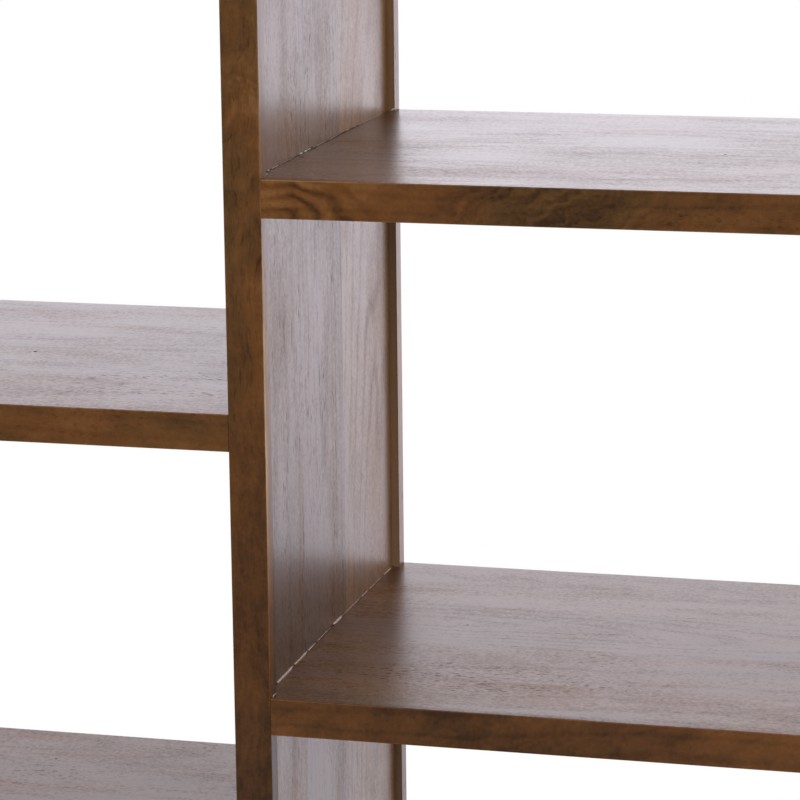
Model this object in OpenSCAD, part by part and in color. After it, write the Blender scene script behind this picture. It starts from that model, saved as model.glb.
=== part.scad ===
// Open wooden shelving unit: two columns of shelves at staggered heights,
// held between three uprights, with no back.
// X runs across the width, Y from the front to the rear, Z up from the floor.

/* [Overall] */
// Width over the two outer uprights
unit_w = 1200; // [700:10:1800]
// Depth from the front edge to the rear edge
unit_d = 350; // [240:5:500]
// Clear height of each full bay between two shelves
bay_h = 317; // [220:1:420]
// Height of a right-hand shelf above the left-hand one below it
stagger = 153; // [80:1:260]
// Underside of the bottom boards above the floor
base_gap = 60; // [45:1:150]

/* [Boards] */
// Thickness of the shelves, the bottom boards and the top board
shelf_t = 25; // [20:1:40]
// Thickness of an upright, which is the width of its edge strips
upright_t = 25; // [22:1:40]
// Depth of each edge strip, from front to rear
strip_d = 14; // [12:1:30]
// Thickness of the panel set between the edge strips
panel_t = 14; // [13:0.5:21]

/* [Rails] */
// Thickness of the rails under the bottom boards
rail_t = 18; // [15:1:25]
// Distance of a rail behind the edge strips
rail_inset = 26; // [5:1:60]
// Clearance under a rail
rail_floor_gap = 8; // [2:1:20]

/* [Joints] */
// Diameter of the dowels
dowel_d = 8; // [6:1:10]
// Length of the dowels
dowel_l = 38; // [34:1:44]
// Length of a shelf dowel that sits in an upright's panel
panel_bite = 10; // [8:1:12]
// Length of a dowel that sits in the face of a board
board_bite = 14; // [10:1:17]
// Distance of the outer dowels from the edge strips
dowel_inset = 41; // [20:1:70]
// Offset of the right-hand column's dowels, which keeps them clear of the left-hand ones
dowel_offset = 16; // [12:1:20]
// Distance of the outer rail dowels from the panels
rail_dowel_inset = 90; // [50:1:150]
// Thickness of the tongue along each edge of a panel
tongue_t = 6; // [4:0.5:8]
// Depth of that tongue in its edge strip
tongue_l = 6; // [4:0.5:7]

/* [Glides] */
// Diameter of the floor glides
glide_d = 14; // [12:1:18]
// Height of the floor glides
glide_h = 4; // [4:0.5:8]
// Distance of the glides from the edge strips
glide_inset = 16; // [10:1:45]
// Diameter of the nail that holds a glide
nail_d = 2; // [1.5:0.1:2.5]
// Length of that nail's shank
nail_l = 18; // [12:1:25]

/* [Wall brackets] */
// Length of each leg of a bracket
bracket_leg = 40; // [34:1:60]
// Width of a bracket
bracket_w = 20; // [16:1:28]
// Thickness of a bracket
bracket_t = 2; // [1.5:0.1:3]
// Distance of a bracket's centre from the face of the outer upright
bracket_inset = 24; // [16:1:60]
// Diameter of the hole for the wall screw
wall_hole_d = 6; // [4:0.5:8]
// Distance of the wall hole below the top board
wall_hole_drop = 26; // [20:1:29]
// Diameter of the screws that hold a bracket
screw_d = 4; // [3:0.5:5]
// Length of those screws
screw_l = 20; // [14:1:22]

/* [Hidden] */
$fn = 32;

// Clearance on each side of a joint, end room in a socket, and overrun of a cut
joint_fit = 0.1;
socket_room = 1;
cut_room = 1;

// Colours
strip_colour = [0.42, 0.27, 0.16];
panel_colour = [0.46, 0.31, 0.20];
shelf_colour = [0.50, 0.35, 0.23];
dowel_colour = [0.80, 0.66, 0.46];
glide_colour = [0.12, 0.11, 0.10];
steel_colour = [0.70, 0.70, 0.72];

// The uprights are 0 to 2 from left to right, and so a column is between two of them
LEFT = 0;
RIGHT = 1;
FRONT = -1;
REAR = 1;
columns = [LEFT, RIGHT];
upright_count = 3;

// Heights
left_bays = 5;
right_shelves = 5;
pitch = bay_h + shelf_t;
base_top = base_gap + shelf_t;
unit_h = base_top + left_bays * pitch;
upright_top = unit_h - shelf_t;
upright_h = upright_top - glide_h;

// Heights of the board tops in each column, the bottom board first
left_levels = [for (i = [0:left_bays - 1]) base_top + i * pitch];
right_levels = concat([base_top], [for (i = [0:right_shelves - 1]) base_top + stagger + i * pitch]);
levels = [left_levels, right_levels];

// Places across the width
upright_step = (unit_w - upright_t) / 2;
column_w = upright_step - upright_t;
function upright_x(i) = (i - 1) * upright_step;
function column_x(c) = (upright_x(c) + upright_x(c + 1)) / 2;
function left_face_x(c) = upright_x(c) + panel_t / 2;
function right_face_x(c) = upright_x(c + 1) - panel_t / 2;
rail_dowel_x = (upright_step - panel_t) / 2 - rail_dowel_inset;

// Places from front to rear
edge_y = unit_d / 2;
panel_edge_y = edge_y - strip_d;
rail_y = panel_edge_y - rail_inset - rail_t / 2;
glide_y = panel_edge_y - glide_inset;
function outer_dowel_y(c) = panel_edge_y - dowel_inset - c * dowel_offset;
function dowel_ys(c) = [-outer_dowel_y(c), c * dowel_offset, outer_dowel_y(c)];

// Small hardware
dowel_chamfer = 1;
glide_chamfer = 1;
nail_head_d = 5.6;
nail_head_t = 1.2;
nail_head_sink = 0.8;
bend_r = 3.5;
screw_head_d = 7.6;
screw_head_seat = 0.2;
screw_head_h = bracket_t - screw_head_seat;
screw_tip_l = 4;
drive_w = 0.9;
drive_l = 4.4;
drive_h = 1.1;
bracket_x = upright_step - upright_t / 2 - bracket_inset;
near_screw_back = 14;
far_screw_back = bracket_leg - bracket_w / 2;

// A dowel along Z between two heights, or its socket when the rooms are given
module dowel(low, high, side_room = 0, end_room = 0) {
    tip = end_room > 0 ? 0 : dowel_chamfer;
    d = dowel_d + 2 * side_room;
    bottom = low - end_room;
    top = high + end_room;
    translate([0, 0, bottom + tip])
        cylinder(d = d, h = top - bottom - 2 * tip);
    if (tip > 0) {
        translate([0, 0, bottom])
            cylinder(d1 = d - 2 * tip, d2 = d, h = tip);
        translate([0, 0, top - tip])
            cylinder(d1 = d, d2 = d - 2 * tip, h = tip);
    }
}

// The dowels between a panel and one end of a board whose top is at height z.
// side is 1 where the board lies to the right of the panel, and -1 to the left.
module end_dowels(c, face_x, side, z, side_room, end_room) {
    for (y = dowel_ys(c))
        translate([face_x, y, z - shelf_t / 2])
            rotate([0, side * 90, 0])
                dowel(-panel_bite, dowel_l - panel_bite, side_room, end_room);
}

// The dowels at both ends of one board
module board_dowels(c, z, side_room = 0, end_room = 0) {
    end_dowels(c, left_face_x(c), 1, z, side_room, end_room);
    end_dowels(c, right_face_x(c), -1, z, side_room, end_room);
}

// The dowels between the top board and the panels
module top_dowels(side_room = 0, end_room = 0) {
    for (i = [0:upright_count - 1], y = dowel_ys(LEFT))
        translate([upright_x(i), y, upright_top])
            dowel(board_bite - dowel_l, board_bite, side_room, end_room);
}

// The dowels between a bottom board and its two rails
module column_rail_dowels(c, side_room = 0, end_room = 0) {
    for (side = [FRONT, REAR], x = [-rail_dowel_x, 0, rail_dowel_x])
        translate([column_x(c) + x, side * rail_y, base_gap])
            dowel(board_bite - dowel_l, board_bite, side_room, end_room);
}

// Puts a piece at each glide
module at_glides() {
    for (i = [0:upright_count - 1], side = [FRONT, REAR])
        translate([upright_x(i), side * glide_y, 0])
            children();
}

// Puts a piece at each bracket, with the rear plane and the top board's underside as zero
module at_brackets() {
    for (x = [-bracket_x, bracket_x])
        translate([x, edge_y, upright_top])
            children();
}

// Puts a piece at each bracket screw, with the underside of the bracket as zero
module at_bracket_screws() {
    at_brackets()
        for (back = [near_screw_back, far_screw_back])
            translate([0, -back, -bracket_t])
                children();
}

// Edge strip of an upright, grooved for the panel's tongue
module edge_strip(i, side) {
    groove_w = tongue_t + 2 * joint_fit;
    groove_l = tongue_l + joint_fit;
    color(strip_colour)
        translate([upright_x(i), side * panel_edge_y, glide_h])
            scale([1, side, 1])
                difference() {
                    translate([-upright_t / 2, 0, 0])
                        cube([upright_t, strip_d, upright_h]);
                    translate([-groove_w / 2, -cut_room, -cut_room])
                        cube([groove_w, groove_l + cut_room, upright_h + 2 * cut_room]);
                }
}

// Panel of an upright, with its tongues and a socket for every dowel that enters it
module upright_panel(i) {
    tongue_y = panel_edge_y + tongue_l;
    color(panel_colour)
        difference() {
            translate([upright_x(i), 0, glide_h]) {
                translate([-panel_t / 2, -panel_edge_y, 0])
                    cube([panel_t, 2 * panel_edge_y, upright_h]);
                translate([-tongue_t / 2, -tongue_y, 0])
                    cube([tongue_t, 2 * tongue_y, upright_h]);
            }
            for (c = columns)
                if (c == i || c == i - 1)
                    for (z = levels[c])
                        board_dowels(c, z, joint_fit, socket_room);
            top_dowels(joint_fit, socket_room);
            at_glides()
                cylinder(d = nail_d + 2 * joint_fit,
                         h = nail_head_sink + nail_head_t + nail_l + socket_room);
        }
}

// A board between two uprights, whose ends step in between the edge strips to the panels.
// Children are cut from it.
module column_board(c, z) {
    step_y = panel_edge_y - joint_fit;
    color(shelf_colour)
        difference() {
            union() {
                translate([column_x(c) - column_w / 2, -edge_y, z - shelf_t])
                    cube([column_w, unit_d, shelf_t]);
                translate([left_face_x(c), -step_y, z - shelf_t])
                    cube([right_face_x(c) - left_face_x(c), 2 * step_y, shelf_t]);
            }
            board_dowels(c, z, joint_fit, socket_room);
            children();
        }
}

module bottom_board(c) {
    column_board(c, base_top)
        column_rail_dowels(c, joint_fit, socket_room);
}

// Top board over all three uprights
module top_board() {
    color(shelf_colour)
        difference() {
            translate([-unit_w / 2, -edge_y, upright_top])
                cube([unit_w, unit_d, shelf_t]);
            top_dowels(joint_fit, socket_room);
            at_bracket_screws()
                cylinder(d = screw_d + 2 * joint_fit, h = screw_l + socket_room);
        }
}

// Rail on edge under a bottom board, from panel to panel
module rail(c, side) {
    color(strip_colour)
        difference() {
            translate([left_face_x(c), side * rail_y - rail_t / 2, rail_floor_gap])
                cube([right_face_x(c) - left_face_x(c), rail_t, base_gap - rail_floor_gap]);
            column_rail_dowels(c, joint_fit, socket_room);
        }
}

// All the dowels of one column's shelves, without those of its bottom board
module shelf_dowels(c) {
    color(dowel_colour)
        for (i = [1:len(levels[c]) - 1])
            board_dowels(c, levels[c][i]);
}

module bottom_board_dowels() {
    color(dowel_colour)
        for (c = columns)
            board_dowels(c, base_top);
}

module top_board_dowels() {
    color(dowel_colour)
        top_dowels();
}

module rail_dowels() {
    color(dowel_colour)
        for (c = columns)
            column_rail_dowels(c);
}

// Round plastic glides, counterbored for their nails
module floor_glides() {
    color(glide_colour)
        at_glides()
            difference() {
                union() {
                    cylinder(d1 = glide_d - 2 * glide_chamfer, d2 = glide_d, h = glide_chamfer);
                    translate([0, 0, glide_chamfer])
                        cylinder(d = glide_d, h = glide_h - glide_chamfer);
                }
                translate([0, 0, -cut_room])
                    cylinder(d = nail_head_d + 2 * joint_fit,
                             h = nail_head_sink + nail_head_t + cut_room);
                translate([0, 0, -cut_room])
                    cylinder(d = nail_d + 2 * joint_fit, h = glide_h + 2 * cut_room);
            }
}

// Nails through the glides into the panels
module glide_nails() {
    tip_l = nail_d;
    color(steel_colour)
        at_glides()
            translate([0, 0, nail_head_sink]) {
                cylinder(d = nail_head_d, h = nail_head_t);
                translate([0, 0, nail_head_t])
                    cylinder(d = nail_d, h = nail_l - tip_l);
                translate([0, 0, nail_head_t + nail_l - tip_l])
                    cylinder(d1 = nail_d, d2 = 0, h = tip_l);
            }
}

// The leg of a bracket that hangs from the bend, against the rear plane, to its round end
module bracket_wall_leg() {
    end_z = bracket_w / 2 - bracket_leg;
    translate([-bracket_w / 2, -bracket_t, end_z])
        cube([bracket_w, bracket_t, -bend_r - end_z]);
    translate([0, 0, end_z])
        rotate([90, 0, 0])
            cylinder(d = bracket_w, h = bracket_t);
}

// The quarter bend between the two legs of a bracket
module bracket_bend() {
    translate([-bracket_w / 2, -bend_r, -bend_r])
        intersection() {
            rotate([0, 90, 0])
                difference() {
                    cylinder(r = bend_r, h = bracket_w);
                    translate([0, 0, -cut_room])
                        cylinder(r = bend_r - bracket_t, h = bracket_w + 2 * cut_room);
                }
            cube([bracket_w, bend_r, bend_r]);
        }
}

// Bent steel brackets: one leg under the top board, the other flat to the wall
module wall_brackets() {
    color(steel_colour)
        difference() {
            at_brackets() {
                bracket_wall_leg();
                mirror([0, 1, -1])
                    bracket_wall_leg();
                bracket_bend();
            }
            at_brackets()
                translate([0, cut_room, -wall_hole_drop])
                    rotate([90, 0, 0])
                        cylinder(d = wall_hole_d, h = bracket_t + 2 * cut_room);
            at_bracket_screws() {
                cylinder(d1 = screw_head_d + 2 * joint_fit, d2 = screw_d + 2 * joint_fit,
                         h = screw_head_h);
                cylinder(d = screw_d + 2 * joint_fit, h = bracket_t + cut_room);
            }
        }
}

// Countersunk screws up through the brackets, with a cross recess in each head
module bracket_screws() {
    color(steel_colour)
        at_bracket_screws()
            difference() {
                union() {
                    cylinder(d1 = screw_head_d, d2 = screw_d, h = screw_head_h);
                    cylinder(d = screw_d, h = screw_l - screw_tip_l);
                    translate([0, 0, screw_l - screw_tip_l])
                        cylinder(d1 = screw_d, d2 = 0, h = screw_tip_l);
                }
                for (turn = [0, 90])
                    rotate([0, 0, turn])
                        translate([-drive_l / 2, -drive_w / 2, -cut_room])
                            cube([drive_l, drive_w, drive_h + cut_room]);
            }
}

edge_strip(0, FRONT);  // left_front_strip
edge_strip(0, REAR);  // left_rear_strip
upright_panel(0);  // left_panel
edge_strip(1, FRONT);  // divider_front_strip
edge_strip(1, REAR);  // divider_rear_strip
upright_panel(1);  // divider_panel
edge_strip(2, FRONT);  // right_front_strip
edge_strip(2, REAR);  // right_rear_strip
upright_panel(2);  // right_panel
top_board();
bottom_board(LEFT);  // left_bottom_board
bottom_board(RIGHT);  // right_bottom_board
column_board(LEFT, left_levels[1]);  // left_shelf_1
column_board(LEFT, left_levels[2]);  // left_shelf_2
column_board(LEFT, left_levels[3]);  // left_shelf_3
column_board(LEFT, left_levels[4]);  // left_shelf_4
column_board(RIGHT, right_levels[1]);  // right_shelf_1
column_board(RIGHT, right_levels[2]);  // right_shelf_2
column_board(RIGHT, right_levels[3]);  // right_shelf_3
column_board(RIGHT, right_levels[4]);  // right_shelf_4
column_board(RIGHT, right_levels[5]);  // right_shelf_5
rail(LEFT, FRONT);  // left_front_rail
rail(LEFT, REAR);  // left_rear_rail
rail(RIGHT, FRONT);  // right_front_rail
rail(RIGHT, REAR);  // right_rear_rail
shelf_dowels(LEFT);  // left_shelf_dowels
shelf_dowels(RIGHT);  // right_shelf_dowels
bottom_board_dowels();
top_board_dowels();
rail_dowels();
floor_glides();
glide_nails();
wall_brackets();
bracket_screws();
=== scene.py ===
"""Wooden shelving unit: its boards, stain and lacquer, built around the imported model."""

import math
import random
from dataclasses import dataclass
from functools import partial

import bmesh
import bpy
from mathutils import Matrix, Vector, noise


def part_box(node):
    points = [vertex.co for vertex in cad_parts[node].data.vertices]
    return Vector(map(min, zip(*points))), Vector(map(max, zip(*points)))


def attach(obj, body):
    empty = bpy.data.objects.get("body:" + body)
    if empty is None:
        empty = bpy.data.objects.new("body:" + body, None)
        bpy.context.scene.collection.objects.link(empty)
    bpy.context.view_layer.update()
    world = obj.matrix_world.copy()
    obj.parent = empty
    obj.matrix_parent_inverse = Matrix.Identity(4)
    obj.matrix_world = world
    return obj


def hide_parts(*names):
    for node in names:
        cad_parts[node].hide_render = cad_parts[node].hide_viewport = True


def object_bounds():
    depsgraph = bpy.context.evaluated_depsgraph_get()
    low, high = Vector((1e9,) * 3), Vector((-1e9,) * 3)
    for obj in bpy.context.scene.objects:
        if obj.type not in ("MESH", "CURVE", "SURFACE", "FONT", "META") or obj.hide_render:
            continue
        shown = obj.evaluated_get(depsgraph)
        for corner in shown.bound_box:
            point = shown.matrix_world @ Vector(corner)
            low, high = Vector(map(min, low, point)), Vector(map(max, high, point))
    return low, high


bl_info = {
    "name": "Wooden Shelving Unit",
    "version": (1, 0, 0),
    "blender": (4, 5, 0),
    "location": "View3D > Sidebar > Shelving",
    "description": "Builds the boards, the finish and the studio of a wooden shelving unit",
    "category": "Object",
}

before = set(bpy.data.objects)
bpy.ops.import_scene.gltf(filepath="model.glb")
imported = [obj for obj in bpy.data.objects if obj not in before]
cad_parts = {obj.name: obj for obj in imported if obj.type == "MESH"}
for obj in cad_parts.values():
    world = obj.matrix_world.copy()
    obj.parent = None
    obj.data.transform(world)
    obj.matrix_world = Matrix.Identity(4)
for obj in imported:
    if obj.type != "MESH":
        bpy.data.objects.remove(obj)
cad_low, cad_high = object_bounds()

BODY = "root"
X, Y, Z = 0, 1, 2
MM = 0.001
# Corners less than this far apart lie in one plane
TOUCH = 0.5 * MM

# Mesh attributes that tell the material where a corner lay in its log and how the wood looks there
LOG = "log"
LOOK = "look"
FIGURE = "figure"
FACE = "face"
KNOT = "knot"
TRAITS = {LOOK: ("tone", "warmth", "curl"), FIGURE: ("rings", "pores", "shine")}

# Straight steps along the hollow face of a panel
HOLLOW_STEPS = 12
# How much longer a knot's figure is along the grain than across it
KNOT_STRETCH = 2.3
# An offset at which a knot no longer shows
FAR_AWAY = Vector((1.0, 1.0, 1.0))
# Least share of a direction along one axis that counts as straight along it
FLAT = 0.98
# Least share of a rounded edge's direction along the grain that puts it at a board's end
END_SHARE = 0.2
# Faces that meet at more than this angle have a sharp edge between them
SHARP_ANGLE = math.radians(40)
# Points closer than this are joined where a board is cut
WELD = 1e-7
# Cells to the metre of the noise that sanding and rubbing follow
WEAR_CELLS = 13
RUB_CELLS = 21

SIDES = ("left", "divider", "right")
TOP_BOARD = "top_board"
COLUMN_BOARDS = (
    "left_bottom_board",
    "right_bottom_board",
    *(f"left_shelf_{i}" for i in range(1, 5)),
    *(f"right_shelf_{i}" for i in range(1, 6)),
)
RAILS = tuple(f"{side}_{end}_rail" for side in ("left", "right") for end in ("front", "rear"))
DOWELS = tuple(
    f"{place}_dowels" for place in ("left_shelf", "right_shelf", "bottom_board", "top_board", "rail")
)


# Settings


def length(name, description, default):
    return bpy.props.FloatProperty(
        name=name,
        description=description,
        default=default,
        min=0.0,
        precision=5,
        subtype="DISTANCE",
        unit="LENGTH",
    )


def factor(name, description, default):
    return bpy.props.FloatProperty(
        name=name, description=description, default=default, min=0.0, max=1.0, subtype="FACTOR"
    )


def number(name, description, default, unit="NONE"):
    return bpy.props.FloatProperty(
        name=name, description=description, default=default, min=0.0, unit=unit
    )


def colour(name, description, default):
    return bpy.props.FloatVectorProperty(
        name=name, description=description, default=default, size=3, min=0, max=1, subtype="COLOR"
    )


def spot(name, description, default):
    return bpy.props.FloatVectorProperty(
        name=name,
        description=description,
        default=default,
        size=3,
        subtype="TRANSLATION",
        unit="LENGTH",
    )


class BoardSettings(bpy.types.PropertyGroup):
    arris: length("Long edges", "Radius of the long edges, rounded by hand", 0.7 * MM)
    joint_arris: length("Joint edges", "Radius of the edges that meet a panel", 0.55 * MM)
    slice_step: length("Slices", "Distance between the slices along the grain", 14 * MM)
    patch_step: length("Patch step", "Distance between cuts across a board with patches", 8 * MM)
    panel_hollow: length("Panel hollow", "How hollow the middle of a panel's face is", 1.1 * MM)
    unevenness: length("Unevenness", "How far sanding has eaten into a face or edge", 0.14 * MM)
    stave_width: length("Stave width", "Usual width of the staves a board is glued from", 88 * MM)


class FinishSettings(bpy.types.PropertyGroup):
    dark: colour("Dark stain", "Colour of the darkest grain", (0.034, 0.013, 0.003))
    olive: colour("Cool stain", "Colour of the cooler, plainer grain", (0.098, 0.045, 0.010))
    orange: colour("Warm stain", "Colour of the warmer grain", (0.132, 0.047, 0.009))
    light: colour("Light stain", "Colour of the lightest grain", (0.260, 0.135, 0.050))
    bare: colour("Bare wood", "Colour of wood whose stain was sanded off", (0.52, 0.37, 0.23))
    # Painted light: the greyer colour of the rear strip's step, which stands in for the pale light
    # that the panel's lacquer reflects onto it
    greyed: colour("Greyed wood", "Colour of wood greyed by dust in a corner", (0.205, 0.118, 0.066))
    lacquer: factor("Lacquer", "Strength of the clear coat", 0.85)
    lacquer_roughness: factor("Lacquer roughness", "How satin the clear coat is", 0.28)
    grain_depth: length("Grain depth", "Depth of the open grain under the lacquer", 0.12 * MM)
    ring_spacing: length("Ring spacing", "Distance between the growth rings", 9 * MM)
    whorl_spacing: length("Whorl spacing", "Distance between the dark rings of a knot", 7.2 * MM)
    worn_edges: factor("Worn edges", "How much lighter the rounded edges are", 0.12)
    # Painted shade of the gap along a joint, with stain pooled there
    joint_shade_and_stain: factor("Pooled stain", "How much darker the edges along a joint are", 0.50)
    filler: colour("Filler", "Colour of the dried glue and filler", (0.68, 0.57, 0.52))


class StudioSettings(bpy.types.PropertyGroup):
    floor_radius: length("Floor radius", "Radius of the pale floor", 2.1)
    floor_shade: factor("Floor shade", "How pale the floor is", 0.80)
    room_light: number("Room light", "Even light from all round", 0.45)
    lamp_size: length("Lamp size", "Width of each soft lamp", 2.0)
    key_power: number("Key lamp", "Power of the soft lamp at the front", 62.0, "POWER")
    key_place: spot("Key lamp's place", "Where the lamp at the front hangs", (1.5, -2.8, 1.9))
    key_target: spot("Key lamp's target", "What the lamp at the front faces", (0.0, 0.0, 1.1))
    fill_power: number("Fill lamp", "Power of the soft lamp at the left", 12.0, "POWER")
    fill_place: spot("Fill lamp's place", "Where the lamp at the left hangs", (-2.6, -2.6, 2.4))
    fill_target: spot("Fill lamp's target", "What the lamp at the left faces", (0.0, 0.0, 1.0))
    camera_place: spot("Camera's place", "Where the camera stands", (0.6237, -2.1709, 1.577))
    camera_turn: bpy.props.FloatVectorProperty(
        name="Camera's turn",
        description="Rise from straight down, roll, and turn to the left",
        default=[math.radians(turn) for turn in (77.659, 0.606, 14.517)],
        size=3,
        subtype="EULER",
        unit="ROTATION",
    )
    sensor_width: number("Sensor", "Width of the camera's sensor", 36.0, "CAMERA")
    focal_length: number("Lens", "Focal length on that sensor", 150.2, "CAMERA")


# Shader graphs


class Socket:
    """One output of a node. An expression on sockets and numbers adds its Math nodes."""

    def __init__(self, graph, output):
        self.graph = graph
        self.output = output

    def math(self, operation, *values):
        inputs = dict(enumerate(values))
        return self.graph.add("ShaderNodeMath", {"operation": operation}, inputs)

    def __add__(self, other):
        return self.math("ADD", self, other)

    def __radd__(self, other):
        return self.math("ADD", other, self)

    def __sub__(self, other):
        return self.math("SUBTRACT", self, other)

    def __rsub__(self, other):
        return self.math("SUBTRACT", other, self)

    def __mul__(self, other):
        return self.math("MULTIPLY", self, other)

    def __rmul__(self, other):
        return self.math("MULTIPLY", other, self)

    def __pow__(self, other):
        return self.math("POWER", self, other)

    def __rpow__(self, other):
        return self.math("POWER", other, self)

    def sine(self):
        return self.math("SINE", self)

    def clamp(self, low, high):
        return self.graph.add("ShaderNodeClamp", {}, {"Value": self, "Min": low, "Max": high})

    def sibling(self, name):
        """Another output of the same node."""
        return Socket(self.graph, self.output.node.outputs[name])

    def ramp(self, low, high):
        """0 below low, 1 above high and smooth between. With low above high it falls instead."""
        inputs = {"Value": self, "From Min": low, "From Max": high}
        return self.graph.add("ShaderNodeMapRange", {"interpolation_type": "SMOOTHSTEP"}, inputs)


class Graph:
    """Builds a node tree from Python expressions."""

    def __init__(self, tree):
        self.tree = tree
        tree.nodes.clear()

    def add(self, kind, settings=None, inputs=None, output=0):
        """A node of a type, its settings set first, then the values or links of its sockets."""
        node = self.tree.nodes.new(kind)
        for key, value in (settings or {}).items():
            if key == "stops":
                self.set_stops(node.color_ramp, value)
            else:
                setattr(node, key, value)
        for key, value in (inputs or {}).items():
            if isinstance(value, Socket):
                self.tree.links.new(value.output, node.inputs[key])
            else:
                node.inputs[key].default_value = value
        return Socket(self, node.outputs[output]) if node.outputs else None

    @staticmethod
    def set_stops(ramp, stops):
        while len(ramp.elements) < len(stops):
            ramp.elements.new(1.0)
        for element, (position, shade) in zip(ramp.elements, stops):
            element.position = position
            element.color = (*shade, 1.0)

    def blend(self, amount, first, second):
        """The colour first where amount is 0, and second where it is 1."""
        inputs = {0: amount, 6: self.opaque(first), 7: self.opaque(second)}
        return self.add("ShaderNodeMix", {"data_type": "RGBA"}, inputs, output=2)

    @staticmethod
    def opaque(shade):
        return shade if isinstance(shade, Socket) else (*shade, 1.0)

    def split(self, vector):
        parts = self.add("ShaderNodeSeparateXYZ", {}, {0: vector})
        return parts, parts.sibling("Y"), parts.sibling("Z")

    def shift(self, place, offset):
        return self.add("ShaderNodeVectorMath", {"operation": "ADD"}, {0: place, 1: offset})

    def distance(self, offset):
        return self.add("ShaderNodeVectorMath", {"operation": "LENGTH"}, {0: offset}, "Value")

    def stretch(self, place, along, across):
        settings = {"operation": "MULTIPLY"}
        return self.add("ShaderNodeVectorMath", settings, {0: place, 1: (along, across, across)})

    def streaks(self, place, along, across, detail=2.0):
        """Noise with this many cells to the metre along the grain and across it."""
        inputs = {"Vector": self.stretch(place, along, across), "Scale": 1.0, "Detail": detail}
        return self.add("ShaderNodeTexNoise", {}, inputs)


def new_material(name):
    material = bpy.data.materials.new(name)
    material.use_nodes = True
    return material, Graph(material.node_tree)


def stored_vector(graph, name):
    return graph.add("ShaderNodeAttribute", {"attribute_name": name}, output="Vector")


def finish_surface(graph, sockets):
    surface = graph.add("ShaderNodeBsdfPrincipled", {}, sockets)
    graph.add("ShaderNodeOutputMaterial", {}, {"Surface": surface})


def swayed_grain(graph, curl):
    """Where a point lay in its log, shifted in long waves where the grain is curly."""
    log = stored_vector(graph, LOG)
    sway = (graph.streaks(log, 16, 9) - 0.5) * curl
    offset = graph.add("ShaderNodeCombineXYZ", {}, {1: sway * 0.030, 2: sway * 0.018})
    return graph.shift(log, offset)


def growth_rings(graph, grain, spacing):
    """Thin dark rings round the log's pith, from 0 between them to 1 on them."""
    bend = graph.streaks(grain, 2.2, 11) - 0.5
    wander = graph.streaks(grain, 9, 42) - 0.5
    radius = graph.distance(graph.stretch(grain, 0.0, 1.0))
    wave = ((radius + bend * 0.034 + wander * 0.007) * (2 * math.pi / spacing)).sine()
    return (wave * 0.5 + 0.5) ** 4.0


def flame(graph, grain, unrest):
    """Slanting bands across the grain, which show where the wood is curly."""
    depth = graph.split(grain)[Z]
    lean = graph.add("ShaderNodeCombineXYZ", {}, {0: depth * 1.3 + unrest * 0.045})
    return graph.streaks(graph.shift(grain, lean), 110, 24) - 0.5


def knot_whorls(graph, cloud, blotch, spacing):
    """Dark rings round the nearest knot, fainter to its left. Across the grain they reach 33 mm."""
    reach = stored_vector(graph, KNOT)
    away = graph.distance(reach)
    beside = graph.split(reach)[X].ramp(0.001, 0.009) * 0.65 + 0.35
    wave = ((away + blotch * 0.012 + 0.8 * MM) * (2 * math.pi / spacing)).sine()
    whorl = (wave * 0.5 + 0.5) ** 1.6
    return whorl * away.ramp(0.033, 0.022) * beside * (1.0 + cloud * 3.0)


def open_pores(graph, grain, pores, dash_cells):
    """Fine pores and longer dark dashes, both thicker where the grain is open."""
    open_grain = (graph.streaks(grain, 9, 60).ramp(0.42, 0.66) * 0.8 + 0.2) * pores
    cells = {"Vector": graph.stretch(grain, 120, 950), "Scale": 1.0}
    pore = graph.add("ShaderNodeTexVoronoi", {}, cells).ramp(0.36, 0.16) * open_grain
    dash = graph.streaks(grain, dash_cells, 400, 1.0).ramp(0.42, 0.30) * open_grain
    return pore, dash


def stain(graph, shade, darkest, middle, lightest):
    """The stain's colour from dark to light wood, by way of a middle tone."""
    stops = [(0.12, darkest), (0.52, middle), (1.0, lightest)]
    return graph.add("ShaderNodeValToRGB", {"stops": stops}, {0: shade})


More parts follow.
